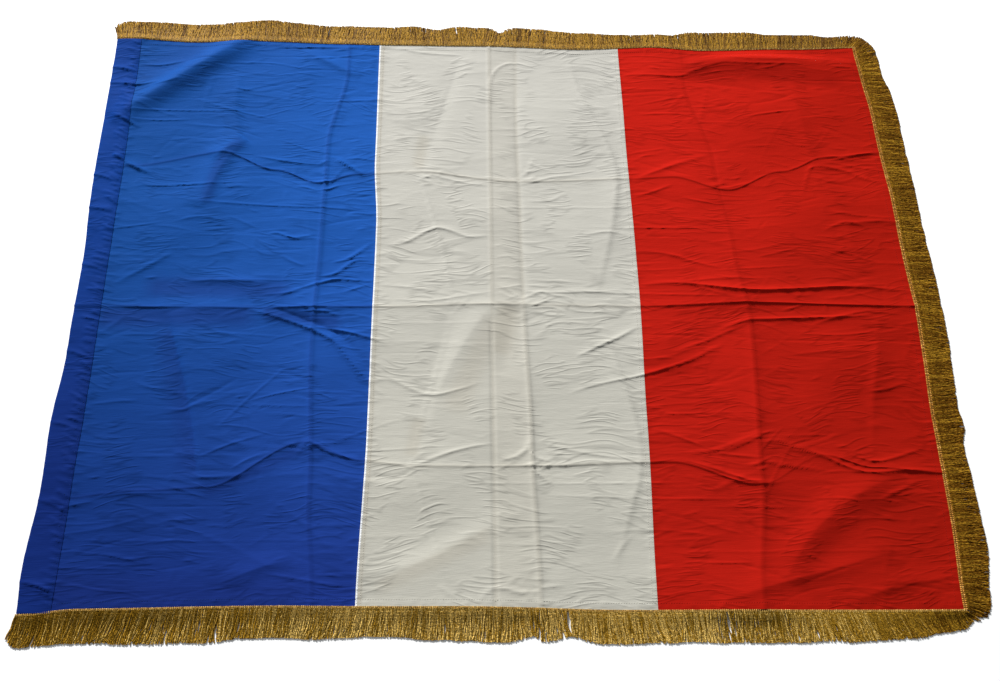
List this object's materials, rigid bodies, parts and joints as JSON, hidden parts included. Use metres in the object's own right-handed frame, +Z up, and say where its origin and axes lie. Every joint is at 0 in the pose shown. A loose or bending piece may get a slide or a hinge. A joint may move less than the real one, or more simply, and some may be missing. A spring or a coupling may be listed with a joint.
{
  "type": "fringed tricolour flag",
  "caption": "Ribbed silk tricolour flag laid out flat, creased from folding, with a pole sleeve along the hoist and bullion fringe on the other three sides.",
  "frame": {"origin": "the middle of the whole flag, fringe included, on the surface that it lies on", "axes": "+X from the hoist to the fly, +Y from the bottom edge to the top edge, +Z up from the surface"},
  "size_m": [1.6995, 1.3274, 0.0153],
  "materials": {
    "sleeve_silk": "violet-blue ribbed silk, soft sheen",
    "blue_silk": "royal blue ribbed and slubbed silk, soft sheen",
    "white_silk": "off-white ribbed silk, yellowed along its folds",
    "red_silk": "scarlet ribbed silk, soft sheen",
    "gold_bullion": "twisted old-gold bullion cord"
  },
  "bodies": {
    "root": {"hoist_sleeve": "sleeve_silk", "panel_blue": "blue_silk", "panel_white": "white_silk", "panel_red": "red_silk", "fringe_top": "gold_bullion", "fringe_fly": "gold_bullion", "fringe_bottom": "gold_bullion"}
  },
  "joints": []
}
